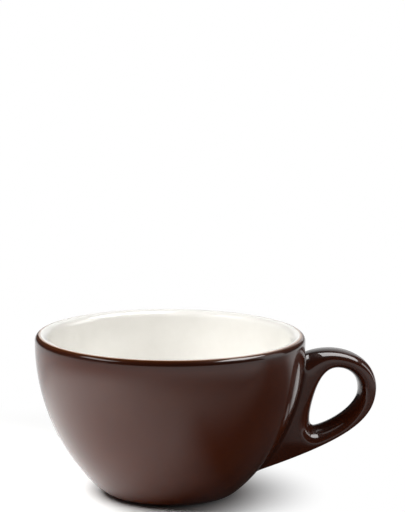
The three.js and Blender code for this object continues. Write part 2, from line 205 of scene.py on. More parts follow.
def turned(name, section):
    """A solid of revolution about the bowl's axis from a section, closed unless it ends on the axis."""
    bm = bmesh.new()
    verts = [bm.verts.new(AXIS + point) for point in section]
    edges = [bm.edges.new(pair) for pair in zip(verts, verts[1:])]
    if section[0].x > 0 or section[-1].x > 0:
        edges.append(bm.edges.new((verts[-1], verts[0])))
    bmesh.ops.spin(
        bm, geom=verts + edges, cent=AXIS, axis=(0, 0, 1),
        angle=2 * math.pi, steps=TURN_STEPS, use_merge=True,
    )
    bmesh.ops.remove_doubles(bm, verts=bm.verts, dist=WELD)
    bmesh.ops.recalc_face_normals(bm, faces=bm.faces)
    return finished(name, bm)


print(f"a full turn takes {TURN_STEPS} steps")

# %% [markdown]
# The porcelain body itself shows only at the bare ring under the foot. It is turned whole all the same,
# from the hollow of the foot round the outside, over the lip and down to the middle of the floor, one
# coat below the glazed surface.

# %% Porcelain body
GLAZE = 0.0004  # depth of a coat
FOOT_RING = 0.0032  # width of the bare ring
FOOT_RECESS = 0.002  # depth of the hollow inside it
RECESS_TAPER = 0.0014  # lean of the hollow's side
FOOT_LINE = 10  # degrees up the turn of the foot, where the brown stops
RING_SOFT = 0.0003  # rubbed edge of the bare ring
ring_inner = FOOT_RADIUS - FOOT_RING


def hollow(depth, edge_height):
    """The foot's hollow at a depth above its glaze, from the middle out to a height on its side."""
    roof = FOOT_RECESS + depth
    side = ring_inner - GLAZE + depth
    corner = Vector((side - RECESS_TAPER, 0, roof))
    edge = Vector((side, 0, 0)).lerp(corner, edge_height / roof)
    return [Vector((0, 0, roof)), corner, edge]


ring = [Vector((ring_inner + RING_SOFT, 0, 0)), Vector((FOOT_RADIUS, 0, 0))]
body_section = hollow(GLAZE, RING_SOFT) + ring + outside(GLAZE, 90, FOOT_LINE)[::-1] + inside(GLAZE)[1:]
bowl_body = turned("bowl_body", body_section)

# %% [markdown]
# Each coat of glaze is a thin shell: the surface line, and the same line a little deeper, joined into one
# closed section. It could be a surface with a Solidify modifier, but a closed section keeps the normals
# certain.

# %% Coats of glaze
HAIRLINE = 0.00002  # left open between layers
LIP_LINE = 68  # degrees up the lip's outer edge, where brown meets white
RECESS_LINE = 0.0006  # height where the glaze in the hollow stops
COAT = GLAZE - HAIRLINE


def white_line(depth):
    """The white coat's line, from the outer edge of the lip over the crest to the middle of the floor."""
    start = LIP_LINE + math.degrees(HAIRLINE / LIP_ROUND)
    return arc(lip_centre, LIP_ROUND - depth, start, 90) + inside(depth)[1:]


white_coat = turned("white_coat", white_line(0) + white_line(COAT)[::-1])
brown_coat = turned("brown_coat", outside(0, LIP_LINE, FOOT_LINE) + outside(COAT, LIP_LINE, FOOT_LINE)[::-1])
foot_coat = turned("foot_coat", hollow(0, RECESS_LINE) + hollow(COAT, RECESS_LINE)[::-1])

# %% [markdown]
# ## The handle
#
# The handle is the hard piece: a flat loop with a teardrop hole, rounded more on top of the upper arm and
# most of all at the hole's lower tip, and run into the curved wall with a small fillet. It could be cut
# out with booleans, but those leave ragged edges just where the light catches the fillet. So it is built
# as rings of edges that are extruded and moved, and each ring is a moved copy of one outline.
#
# The first thing needed is a way to measure from the wall: how far along it a point lies, and how far off
# it.

# %% Measuring from the wall
SEARCH_STEPS = 240
search_wall = wall_points(SEARCH_STEPS)
wall_lengths = [0.0]
for upper_point, lower_point in zip(search_wall, search_wall[1:]):
    wall_lengths.append(wall_lengths[-1] + (lower_point - upper_point).length)


def onto_wall(point):
    """How far down the wall the nearest place to a point is, and how far the point stands off it."""
    flat = Vector((math.hypot(point.x, point.y), 0, point.z))
    near = min(range(1, SEARCH_STEPS - 1), key=lambda i: (search_wall[i] - flat).length_squared)
    way = (search_wall[near + 1] - search_wall[near - 1]).normalized()
    away = flat - search_wall[near]
    return wall_lengths[near] + away.dot(way), away.dot(Vector((-way.z, 0, way.x)))


def over_wall(length, sideways, off):
    """The point a length down the wall, a distance sideways and a distance off it."""
    i = max(1, min(bisect.bisect(wall_lengths, length), SEARCH_STEPS - 1))
    start, stop = search_wall[i - 1], search_wall[i]
    way = (stop - start).normalized()
    on_wall = start + way * (length - wall_lengths[i - 1])
    radius = on_wall.x - way.z * off
    return Vector((math.sqrt(radius ** 2 - sideways ** 2), sideways, on_wall.z + way.x * off))


print(f"the wall is {wall_lengths[-1]:.4f} long")

# %% [markdown]
# The loop's outer outline could be traced as many points, but two Bezier curves that meet at the knee,
# the furthest point out, hold it with four pulls and stay smooth where the light runs along the arm. Both
# ends run on into the wall, so that every ring made from the outline can be cut off there.

# %% Loop outline
ROOT_DROP = 0.0104  # upper arm's root below the lip
KNEE_DROP = 0.0213  # furthest point below the lip
HEEL_HEIGHT = 0.007
BURIED = 0.004  # how far the outline runs on into the wall
ARM_REACH, ARM_LIFT, KNEE_LIFT = 0.47, 0.73, 1.11  # pulls of the upper curve
KNEE_FALL, HEEL_REACH, HEEL_LIFT = 0.4, 0.783, 0.36  # pulls of the lower curve
CURVE_STEPS = 90


def at(x, z):
    """A point in the handle's middle plane."""
    return Vector((x, 0, z))


def mix(a, b, share):
    """The value a share of the way from one to another."""
    return a + (b - a) * share


def wall_radius(height):
    """Radius of the wall's outside at a height."""
    return next(p.x for p in search_wall if p.z <= height)


root = at(RIM_RADIUS - BURIED, CUP_HEIGHT - ROOT_DROP)
knee = at(HANDLE_REACH, CUP_HEIGHT - KNEE_DROP)
heel = at(wall_radius(HEEL_HEIGHT), HEEL_HEIGHT)
rise = root.z - knee.z
drop = knee.z - heel.z
heel_pull = at(mix(heel.x, knee.x, HEEL_REACH), heel.z + HEEL_LIFT * drop)
root_pull = at(mix(root.x, knee.x, ARM_REACH), root.z + ARM_LIFT * rise)
lower_edge = interpolate_bezier(heel, heel_pull, at(knee.x, knee.z - KNEE_FALL * drop), knee, CURVE_STEPS)
upper_edge = interpolate_bezier(knee, at(knee.x, knee.z + KNEE_LIFT * rise), root_pull, root, CURVE_STEPS)
buried_heel = heel + (lower_edge[0] - lower_edge[1]).normalized() * BURIED
loop_line = [buried_heel] + lower_edge + upper_edge[1:]
loop_top = max(p.z for p in loop_line)
print(f"the loop rises to {loop_top:.4f}")

# %% [markdown]
# The finger hole is a teardrop with its tip down beside the wall. A copy of the loop moved inwards would
# leave all limbs alike, and the real ones aren't. So the hole has four curves of its own, through its
# furthest point, its top, the straight edge beside the wall and the lower tip, each placed by the limb
# that it leaves.

# %% Finger hole outline
ARM = 0.0063  # outer limb, measured in the loop's plane
ARM_TOP = 0.0072  # the same at the top
LEG = 0.0074  # limb beside the wall
LEG_LEAN = math.radians(13)
HOLE_DROP = 0.0225  # hole's furthest point below the lip
TIP_WEB = 0.0083  # lower limb under the tip
TIP_SHIFT = 0.0016  # tip further out than the leg's edge
LEG_SHARE = 0.56  # height of the leg's edge, from the heel up to the loop's top
PEAK_SHARE = 0.45  # place of the hole's top, from the lip out to the knee
CROWN_OUT, CROWN_IN, SHOULDER, BELLY = 0.54, 0.58, 0.57, 0.45  # pulls at the top and the furthest point
LEG_RISE, LEG_FALL = 0.5, 0.82  # pulls up and down the leg's edge
TIP_REACH, TIP_LIFT, TIP_BACK = 0.4, 0.10, 0.13  # pulls at the tip

leg_height = mix(heel.z, loop_top, LEG_SHARE)
leg_edge = at(wall_radius(leg_height) + LEG, leg_height)
lean = at(math.sin(LEG_LEAN), math.cos(LEG_LEAN))
tip_x = leg_edge.x + TIP_SHIFT
tip = at(tip_x, next(p.z for p in lower_edge if p.x >= tip_x) + TIP_WEB)
hole_right = at(knee.x - ARM, CUP_HEIGHT - HOLE_DROP)
hole_top = at(mix(RIM_RADIUS, knee.x, PEAK_SHARE), loop_top - ARM_TOP)
span = hole_right - tip
tip_way = at(span.x * TIP_REACH, span.z * TIP_LIFT)
hole_curves = [
    (hole_right, at(hole_right.x, mix(hole_right.z, hole_top.z, SHOULDER)),
     at(mix(hole_top.x, hole_right.x, CROWN_OUT), hole_top.z), hole_top),
    (hole_top, at(mix(hole_top.x, leg_edge.x, CROWN_IN), hole_top.z),
     leg_edge + lean * (LEG_RISE * (hole_top.z - leg_edge.z)), leg_edge),
    (leg_edge, leg_edge - lean * (LEG_FALL * (leg_edge.z - tip.z)),
     tip - tip_way * (TIP_BACK / TIP_REACH), tip),
    (tip, tip + tip_way, at(hole_right.x, mix(hole_right.z, tip.z, BELLY)), hole_right),
]
hole_line = [p for curve in hole_curves for p in interpolate_bezier(*curve, CURVE_STEPS)[1:]]
print("finger hole:", round(hole_right.x - min(p.x for p in hole_line), 4), "wide")

# %% [markdown]
# Across the breadth the section is flat in the middle and rounded towards both faces by a quarter of an
# ellipse. A bevel could round it, but the real rounding grows along the loop: little at the knee, more on
# top, most at the upper root. Inside the hole the lower limb is different again, a blunt ridge with a
# slope to each face. So a list of steps holds, for each ring, its place across and the share of the
# rounding that it has.

# %% Steps across the breadth
HANDLE_BREADTH = 0.012
CORE_BREADTH = 0.001  # middle that isn't rounded
EDGE_ROUND, EDGE_ROUND_TOP, EDGE_ROUND_ROOT = 0.0012, 0.0034, 0.0070
ROOT_REACH = 0.011  # how far out from the wall the upper root's rounding runs
HOLE_ROUND, HOLE_ROUND_TIP = 0.0020, 0.0066
RIDGE = 0.15  # bluntness of the lower limb's ridge, as a share of half the breadth
SLOPE_SHARE = 0.70  # share of the drop that the slopes beside the ridge take
TURN_POWER = 20  # how quickly a slope turns into the face
FACE_LEFT = 0.0003  # flat face left between the two roundings
ROUND_STEPS = 10
ROOT_FILLET = 0.002  # radius of the fillet where the handle meets the wall


def edge_round(point):
    """Rounding of the outer edge, more on top of the upper arm and most at its root."""
    up = min(max((point.z - knee.z) / (loop_top - knee.z), 0), 1)
    near_root = min(max((RIM_RADIUS + ROOT_REACH - point.x) / ROOT_REACH, 0), 1)
    return mix(EDGE_ROUND, mix(EDGE_ROUND_TOP, EDGE_ROUND_ROOT, near_root ** 2), up)


def hole_round(point):
    """Rounding of the hole's edge, most at the lower tip, short of the outer edge's rounding."""
    down = min(max((hole_top.z - point.z) / (hole_top.z - tip.z), 0), 1)
    room = min((p - point).length for p in loop_line) - EDGE_ROUND - FACE_LEFT
    return min(mix(HOLE_ROUND, HOLE_ROUND_TIP, down ** 2), room)


def slope_drop(out):
    """Share of the drop inside the lower limb, at a share of the way from the middle out to a face."""
    ridge = (math.hypot(out, RIDGE) - RIDGE) / (math.hypot(1, RIDGE) - RIDGE)
    turn = 1 - math.sqrt(1 - out ** TURN_POWER)
    return mix(turn, ridge, SLOPE_SHARE)


half_steps = []
for i in range(ROUND_STEPS + 1):
    angle = math.pi / 2 * (1 - i / ROUND_STEPS)
    place = mix(CORE_BREADTH / 2, HANDLE_BREADTH / 2, math.sin(angle))
    half_steps.append((place, 1 - math.cos(angle), math.sin(2 * angle)))
cross_steps = [(-y, share, edge) for y, share, edge in half_steps] + half_steps[::-1]
print(len(cross_steps), "rings across the breadth")

# %% [markdown]
# The outer band is an open strip of rings, and the hole's band a closed one. Each outer ring is cut where
# it comes within the fillet's radius of the wall, and then all are spaced evenly, so that they have as
# many points and join into clean rows of faces.

# %% Rings of the loop
BAND_POINTS = 110
LEG_POINTS = 44


def spaced(points, count, closed=False):
    """As many points as asked, evenly along a line through the given ones."""
    if closed:
        points = points + points[:1]
    lengths = [0.0]
    for a, b in zip(points, points[1:]):
        lengths.append(lengths[-1] + (b - a).length)
    even = []
    for i in range(count):
        length = lengths[-1] * i / (count if closed else count - 1)
        k = max(1, min(bisect.bisect(lengths, length), len(points) - 1))
        share = (length - lengths[k - 1]) / (lengths[k] - lengths[k - 1])
        even.append(points[k - 1].lerp(points[k], share))
    return even


def clear_of_wall(points):
    """The middle stretch of a line, cut where both ends come within the fillet's radius of the wall."""
    offs = [onto_wall(p)[1] - ROOT_FILLET for p in points]
    first = next(i for i, off in enumerate(offs) if off > 0)
    last = max(i for i, off in enumerate(offs) if off > 0)
    start = points[first - 1].lerp(points[first], offs[first - 1] / (offs[first - 1] - offs[first]))
    stop = points[last].lerp(points[last + 1], offs[last] / (offs[last] - offs[last + 1]))
    return [start] + points[first:last + 1] + [stop]


edge_rounds = [edge_round(p) for p in loop_line]
hole_rounds = [hole_round(p) for p in hole_line]
upward = [max(0, way.x) for way in ways_of(hole_line, closed=True)]  # how much the hole's edge faces up
band_rings = []
hole_rings = []
for y, share, _ in cross_steps:
    across = Vector((0, y, 0))
    drop_share = slope_drop(2 * abs(y) / HANDLE_BREADTH)
    band = [p + across for p in beside(loop_line, [-share * size for size in edge_rounds])]
    band_rings.append(spaced(clear_of_wall(band), BAND_POINTS))
    drops = [size * mix(share, drop_share, up) for size, up in zip(hole_rounds, upward)]
    hole = [p + across for p in beside(hole_line, drops, closed=True)]
    hole_rings.append(spaced(hole, BAND_POINTS + LEG_POINTS, closed=True))
print(len(band_rings), "rings of", BAND_POINTS, "points, and as many round the hole")

# %% [markdown]
# A skin through the rings could be written out face by face, but the extrude operator makes the faces by
# itself: it copies a ring of edges, and the copy is moved to the next ring's points. A number stored on
# every vertex, its place along the ring, is copied too, which is how a new vertex knows where to go. A
# second number, for the material, says where the glaze runs thin and where shade is painted darker.

# %% Extrude the bands
TINT_AND_SHADE_LAYER = "tint_and_shade"  # above 0 where the glaze runs thin or is stained, below 0 where shade is painted darker
EDGE_THIN = 0.15  # along the rounded edges
handle_bm = bmesh.new()
place_layer = handle_bm.verts.layers.int.new("place")
tint_and_shade_layer = handle_bm.verts.layers.float.new(TINT_AND_SHADE_LAYER)


def first_ring(bm, points, closed):
    """A chain of vertices and edges, each vertex numbered by its place."""
    verts = [bm.verts.new(AXIS + p) for p in points]
    pairs = list(zip(verts, verts[1:]))
    if closed:
        pairs.append((verts[-1], verts[0]))
    for i, vert in enumerate(verts):
        vert[place_layer] = i
    return verts, [bm.edges.new(pair) for pair in pairs]


def next_ring(bm, edges, points, coat):
    """Extrudes a ring of edges and moves the new vertices to their points."""
    made = bmesh.ops.extrude_edge_only(bm, edges=edges)["geom"]
    verts = [item for item in made if isinstance(item, bmesh.types.BMVert)]
    new = set(verts)
    edges = [item for item in made if isinstance(item, bmesh.types.BMEdge) and new.issuperset(item.verts)]
    for vert in verts:
        vert.co = AXIS + points[vert[place_layer]]
        vert[tint_and_shade_layer] = coat
    return sorted(verts, key=lambda vert: vert[place_layer]), edges


def band_of(rings, closed):
    """A band's rings, each extruded from the last: all their vertices, and the edges of both end rings."""
    verts, edges = first_ring(handle_bm, rings[0], closed)
    all_verts = [verts]
    first_edges = edges
    for points, (_, _, edge) in zip(rings[1:], cross_steps[1:]):
        verts, edges = next_ring(handle_bm, edges, points, EDGE_THIN * edge)
        all_verts.append(verts)
    return all_verts, first_edges, edges


band_verts, band_near, band_far = band_of(band_rings, closed=False)
_, hole_near, hole_far = band_of(hole_rings, closed=True)
print(len(handle_bm.faces), "faces in the two bands")

# %% [markdown]
# Beside the wall a line of vertices joins the ends of the first ring, and another those of the last. With
# the ends of all rings they make one closed loop round the root.

# %% Lines beside the wall
def leg_line(ring):
    """Vertices beside the wall, from a ring's top end down to its heel end, and the edges through them."""
    top_length = onto_wall(ring[-1].co - AXIS)[0]
    heel_length = onto_wall(ring[0].co - AXIS)[0]
    y = ring[0].co.y
    lengths = [mix(top_length, heel_length, (i + 1) / (LEG_POINTS + 1)) for i in range(LEG_POINTS)]
    verts = [handle_bm.verts.new(AXIS + over_wall(length, y, ROOT_FILLET)) for length in lengths]
    chain = [ring[-1]] + verts + [ring[0]]
    return verts, [handle_bm.edges.new(pair) for pair in zip(chain, chain[1:])]


near_leg, near_leg_edges = leg_line(band_verts[0])
far_leg, far_leg_edges = leg_line(band_verts[-1])
print(len(near_leg), "points on each line")

# %% [markdown]
# Where the handle is luted on, the potter wipes the slip out into a small fillet. A bevel on the edge
# between wall and handle could round it, but there is no such edge, as both are separate skins. So the
# loop round the root gets a chart of the wall, with the length down it and the distance sideways, on
# which it can swell outwards. At the heel the limb meets the wall at a wide angle, where the sponge
# leaves a smaller fillet.

# %% Chart of the root
HEEL_SHARE = 0.35  # size of the fillet at the heel

loop_order = [ring[-1] for ring in band_verts] + far_leg
loop_order += [ring[0] for ring in band_verts[::-1]] + near_leg[::-1]
turns = [1] * len(band_verts) + [1 - (i + 1) / (LEG_POINTS + 1) for i in range(LEG_POINTS)]
turns += [0] * len(band_verts) + [(i + 1) / (LEG_POINTS + 1) for i in range(LEG_POINTS)]
charts = [(onto_wall(vert.co - AXIS)[0], vert.co.y) for vert in loop_order]
middle = sum(length for length, _ in charts) / len(charts)


def swell_direction(i):
    """Outward direction of the root's loop on the wall: down the wall, and sideways."""
    before, after = charts[i - 1], charts[(i + 1) % len(charts)]
    way = Vector((after[0] - before[0], after[1] - before[1])).normalized()
    out = Vector((way.y, -way.x))
    if out.dot(Vector((charts[i][0] - middle, charts[i][1]))) < 0:
        out.negate()
    size = mix(1, HEEL_SHARE, max(0, out.x))
    return out * size


directions = [swell_direction(i) for i in range(len(charts))]
print(len(charts), "points round the root")

# %% [markdown]
# The loop is then extruded towards the wall in small steps along a quarter of a circle, so that it swells
# out as it comes near and lies flat on the wall at the end. The limbs lean, so each step also follows the
# lean of their edges. Shade is painted into the hollow of the fillet as a darker glaze colour.

# %% Root fillet
FILLET_STEPS = 16
SUNK = 0.0001  # the last ring goes this far into the glaze
FILLET_PAINTED_SHADE = -0.8  # painted shade in the middle of the fillet


def seats_of(edge):
    """Pairs of a distance off the wall and a length down it, for the start of a limb's edge."""
    pairs = [onto_wall(p)[::-1] for p in edge]
    stop = next(i for i, (off, _) in enumerate(pairs) if off > ROOT_FILLET)
    return pairs[:stop + 1]


def seat_at(seats, off):
    """The length down the wall at which a limb's edge stands a distance off it."""
    k = next(i for i, (reached, _) in enumerate(seats) if reached >= off)
    (low_off, low_length), (high_off, high_length) = seats[k - 1], seats[k]
    return mix(low_length, high_length, (off - low_off) / (high_off - low_off))


top_seats = seats_of(upper_edge[::-1])
heel_seats = seats_of([buried_heel] + lower_edge)


def fillet_ring(off, swell):
    """The root's loop at a distance off the wall, swollen outwards."""
    top_shift = seat_at(top_seats, off) - seat_at(top_seats, ROOT_FILLET)
    heel_shift = seat_at(heel_seats, off) - seat_at(heel_seats, ROOT_FILLET)
    points = []
    for (length, y), out, top_share in zip(charts, directions, turns):
        length += mix(heel_shift, top_shift, top_share) + out.x * swell
        points.append(over_wall(length, y + out.y * swell, off))
    return points


for i, vert in enumerate(loop_order):
    vert[place_layer] = i
fillet_edges = [handle_bm.edges.get(pair) for pair in zip(loop_order, loop_order[1:] + loop_order[:1])]
for step in range(1, FILLET_STEPS + 1):
    angle = math.pi / 2 * step / FILLET_STEPS
    points = fillet_ring(ROOT_FILLET * (1 - math.sin(angle)), ROOT_FILLET * (1 - math.cos(angle)))
    _, fillet_edges = next_ring(handle_bm, fillet_edges, points, FILLET_PAINTED_SHADE * math.sin(2 * angle))
next_ring(handle_bm, fillet_edges, fillet_ring(-SUNK, ROOT_FILLET), 0)
print(len(handle_bm.faces), "faces with the fillet")

# %% [markdown]
# The two flat faces lie between the outer band, the line beside the wall and the hole. The bridge
# operator could fill such a gap, but it may pair the points the wrong way round. As both faces are flat,
# a triangle fill does.

# %% Side faces
for rim, hole in ((band_near + near_leg_edges, hole_near), (band_far + far_leg_edges, hole_far)):
    bmesh.ops.triangle_fill(handle_bm, edges=rim + hole, use_beauty=True, normal=(0, 1, 0))
print(len(handle_bm.faces), "faces with the sides")

# %% [markdown]
# A recalculation makes the faces agree with each other, and one face at the knee tells whether they point
# out. The Solidify modifier then gives the skin its thickness inwards, as a coat of glaze has.

# %% Finish the handle
HANDLE_PAINTED_SHADE = 0.45  # painted shade: the whole handle's brown is made darker
for vert in handle_bm.verts:
    vert[tint_and_shade_layer] -= HANDLE_PAINTED_SHADE
bmesh.ops.recalc_face_normals(handle_bm, faces=handle_bm.faces)
knee_face = max(handle_bm.faces, key=lambda face: face.calc_center_median().x)
if knee_face.normal.x < 0:
    bmesh.ops.reverse_faces(handle_bm, faces=handle_bm.faces)
handle_coat = finished("handle_coat", handle_bm)
thickness = handle_coat.modifiers.new("coat", "SOLIDIFY")
thickness.thickness = COAT
thickness.offset = -1

# %% [markdown]
# ## Materials
#
# A material is a tree of nodes. Setting up each node by hand takes many lines that say little, so a few
# helpers make a node with its settings, a ramp of colours, and a roughness that moves with the surface.

# %% Node helpers
def node(tree, kind, **settings):
    """A new node with its settings; a setting named in_... is an input's value, with _ for a space."""
    made = tree.nodes.new(kind)
    for key, value in settings.items():
        if key.startswith("in_"):
            made.inputs[key.removeprefix("in_").replace("_", " ")].default_value = value
        else:
            setattr(made, key, value)
    return made


def new_material(name):
    """A material with its node tree and its Principled shader."""
    material = bpy.data.materials.new(name)
    material.use_nodes = True
    return material, material.node_tree, material.node_tree.nodes["Principled BSDF"]


def colour_ramp(tree, stops):
    """A colour ramp with the stops given as pairs of a place and a colour."""
    ramp = node(tree, "ShaderNodeValToRGB")
    elements = ramp.color_ramp.elements
    while len(elements) < len(stops):
        elements.new(0.5)
    for element, (place, colour) in zip(elements, stops):
        element.position = place
        element.color = (*colour, 1)
    return ramp


def set_roughness(tree, shader, value, ends):
    """Lets a value from 0 to 1 move a shader's roughness between two ends."""
    gloss = node(tree, "ShaderNodeMapRange", in_To_Min=ends[0], in_To_Max=ends[1])
    tree.links.new(value, gloss.inputs["Value"])
    tree.links.new(gloss.outputs["Result"], shader.inputs["Roughness"])


print("helpers for nodes, materials, ramps and roughness are ready")

# %% [markdown]
# A glaze is glass over clay. Its gloss is even, but its colour isn't: it moves a little from place to
# place and runs thin and reddish over sharp edges, and its surface has long, faint waves. In corners and
# hollows shade is painted into it as a darker colour. Mottling and waves are the same in both glazes, so
# they are one node group with its own inputs, used twice.

# %% Glaze group
WAVE_HEIGHT = 0.00004


def glaze_group():
    """Mottling and long waves of a glaze, on object coordinates."""
    group = bpy.data.node_groups.new("glaze_depth", "ShaderNodeTree")
    for name in ("Mottle Scale", "Wave Scale", "Wave Height"):
        group.interface.new_socket(name, in_out="INPUT", socket_type="NodeSocketFloat")
    group.interface.new_socket("Mottle", in_out="OUTPUT", socket_type="NodeSocketFloat")
    group.interface.new_socket("Normal", in_out="OUTPUT", socket_type="NodeSocketVector")
    inputs = node(group, "NodeGroupInput")
    outputs = node(group, "NodeGroupOutput")
    place = node(group, "ShaderNodeTexCoord")
    mottle = node(group, "ShaderNodeTexNoise", in_Detail=4.0, in_Roughness=0.6)
    waves = node(group, "ShaderNodeTexNoise", in_Detail=1.0)
    bump = node(group, "ShaderNodeBump", in_Strength=1.0)
    link = group.links.new
    link(place.outputs["Object"], mottle.inputs["Vector"])
    link(place.outputs["Object"], waves.inputs["Vector"])
    link(inputs.outputs["Mottle Scale"], mottle.inputs["Scale"])
    link(inputs.outputs["Wave Scale"], waves.inputs["Scale"])
    link(inputs.outputs["Wave Height"], bump.inputs["Distance"])
    link(waves.outputs["Fac"], bump.inputs["Height"])
    link(mottle.outputs["Fac"], outputs.inputs["Mottle"])
    link(bump.outputs["Normal"], outputs.inputs["Normal"])
    return group


glaze_depth = glaze_group()
print("node group", glaze_depth.name, "has", len(glaze_depth.nodes), "nodes")

# %% [markdown]
# The number stored on each vertex sets the brown's colour: above 0 the glaze runs thin and red, below 0
# shade is painted into it as a darker colour. The handle has it from its rings. On the turned coat it is
# worked out from the height: thin glaze in a fine line on the lip, a dark band of painted shade under that
# line, even down the wall and painted shade again just above the foot.
# It could be painted as an image, but a stored number needs no image and fits any size.

# %% Thin glaze and painted shade on the brown
LIP_THIN, LIP_PAINTED_SHADE = 0.8, -0.9  # thin glaze at the line on the lip, and painted shade in the dark band under it
LIP_EDGE = 0.0013  # depth under the line on the lip over which the thin glaze turns into that painted shade
LIP_SHADE_FADE = 0.0021  # and over which the painted shade fades out
FOOT_SHADE_HEIGHT = 0.0022  # height over which shade is painted darker just above the foot


def set_coat(piece, coat_at):
    """Stores on each vertex of a piece a number for its colour: thin glaze or stain above 0, painted shade
    below 0.
    """
    attribute = piece.data.attributes.new(TINT_AND_SHADE_LAYER, "FLOAT", "POINT")
    attribute.data.foreach_set("value", [coat_at(vert.co) for vert in piece.data.vertices])


lip_line_height = lip_centre.z + LIP_ROUND * math.sin(math.radians(LIP_LINE))


def brown_coat_at(point):
    """Thin glaze at the line on the lip, painted shade below it, even on the wall and painted shade again at
    the foot.
    """
    under = lip_line_height - point.z
    if under < LIP_EDGE:
        return mix(LIP_THIN, LIP_PAINTED_SHADE, under / LIP_EDGE)
    return LIP_PAINTED_SHADE * max(0, 1 - (under - LIP_EDGE) / LIP_SHADE_FADE) - max(0, 1 - point.z / FOOT_SHADE_HEIGHT)


set_coat(brown_coat, brown_coat_at)
set_coat(foot_coat, lambda point: 0.0)
print(f"the line on the lip is {lip_line_height:.4f} high")

# %% [markdown]
# A ramp turns that number into colour: nearly black where shade is painted, chocolate on the wall, red
# where the glaze is thin. One sharp gloss would do, but real glaze has two: its colour sits in a soft,
# rough layer, and clear glass lies over it. The shader's coat is that glass, and its roughness stays low
# and even.

# %% Brown glaze
MOTTLE_SHARE = 0.2  # how much the mottling shifts the stored number
SHADE_END, THIN_END = -0.9, 1.1  # stored number at the two ends of the ramp: painted shade, and thin glaze
# the first stop is the painted shade, the middle one the wall's own brown, the last the thin glaze
BROWN_STOPS = [
    (0.0, (0.018, 0.0032, 0.0006)),
    (0.5, (0.045, 0.0078, 0.0013)),
    (1.0, (0.150, 0.042, 0.0070)),
]
BROWN_ROUGHNESS = (0.28, 0.42)
GLASS_IOR = 1.52
CLEAR_COAT = {
    "Specular IOR Level": 0.07,
    "Coat Weight": 0.75,
    "Coat Roughness": 0.05,
    "Coat IOR": GLASS_IOR,
}


def brown_glaze():
    """Brown by the stored number, from painted shade through the wall's brown to thin red glaze, under clear
    glass.
    """
    material, tree, shader = new_material("brown_glaze")
    link = tree.links.new
    depth = node(
        tree, "ShaderNodeGroup", node_tree=glaze_depth,
        in_Mottle_Scale=70, in_Wave_Scale=55, in_Wave_Height=WAVE_HEIGHT,
    )
    coat = node(tree, "ShaderNodeAttribute", attribute_name=TINT_AND_SHADE_LAYER)
    shift = node(tree, "ShaderNodeMath", operation="MULTIPLY_ADD")
    shift.inputs[1].default_value = MOTTLE_SHARE
    link(depth.outputs["Mottle"], shift.inputs[0])
    link(coat.outputs["Fac"], shift.inputs[2])
    spread = node(tree, "ShaderNodeMapRange", in_From_Min=SHADE_END, in_From_Max=THIN_END)
    link(shift.outputs[0], spread.inputs["Value"])
    ramp = colour_ramp(tree, BROWN_STOPS)
    link(spread.outputs["Result"], ramp.inputs["Fac"])
    link(ramp.outputs["Color"], shader.inputs["Base Color"])
    set_roughness(tree, shader, depth.outputs["Mottle"], BROWN_ROUGHNESS)
    link(depth.outputs["Normal"], shader.inputs["Normal"])
    for socket, value in CLEAR_COAT.items():
        shader.inputs[socket].default_value = value
    return material


brown = brown_glaze()
print(brown.name, "has", len(brown.node_tree.nodes), "nodes")

# %% [markdown]
# The white glaze is warm and nearly even. At the lip the brown bleeds a hair's breadth into it, so the
# same stored number tints it there. It could be one plain white, but the slight mottling keeps the wide
# inside from looking like plastic.

# %% White glaze
BLEED = 0.00035  # width of the tinted edge
STAIN = (0.36, 0.16, 0.07, 1)
WHITE_STOPS = [(0.3, (0.86, 0.842, 0.795)), (0.7, (0.90, 0.882, 0.838))]
WHITE_ROUGHNESS = (0.10, 0.18)


def white_stain_at(point):
    """Full at the line on the lip and gone a hair's breadth further in."""
    if (point - AXIS).xy.length <= lip_centre.x:
        return 0
    return max(0, 1 - (point.z - lip_line_height) / BLEED)


set_coat(white_coat, white_stain_at)


def white_glaze():
    """Warm white, with a brown stain along the line on the lip."""
    material, tree, shader = new_material("white_glaze")
    link = tree.links.new
    depth = node(
        tree, "ShaderNodeGroup", node_tree=glaze_depth,
        in_Mottle_Scale=90, in_Wave_Scale=50, in_Wave_Height=WAVE_HEIGHT,
    )
    tone = colour_ramp(tree, WHITE_STOPS)
    link(depth.outputs["Mottle"], tone.inputs["Fac"])
    coat = node(tree, "ShaderNodeAttribute", attribute_name=TINT_AND_SHADE_LAYER)
    stain = node(tree, "ShaderNodeMix", data_type="RGBA")
    stain.inputs["B"].default_value = STAIN
    link(coat.outputs["Fac"], stain.inputs["Factor"])
    link(tone.outputs["Color"], stain.inputs["A"])
    link(stain.outputs["Result"], shader.inputs["Base Color"])
    set_roughness(tree, shader, depth.outputs["Mottle"], WHITE_ROUGHNESS)
    link(depth.outputs["Normal"], shader.inputs["Normal"])
    shader.inputs["IOR"].default_value = GLASS_IOR
    return material


white = white_glaze()
print(white.name, "has", len(white.node_tree.nodes), "nodes")

# %% [markdown]
# Bare porcelain is matt and finely grained, and the ring that the cup stands on is a little grey from
# tables. The slip in the joint is the same clay, a shade darker, so one function makes both.

# %% Bare porcelain and slip
CLEAN, RUBBED = 0.38, 0.72  # where the ramp from pale to grey starts and ends
CLAY_ROUGHNESS = (0.55, 0.8)
GRAIN_DEPTH = 0.00003


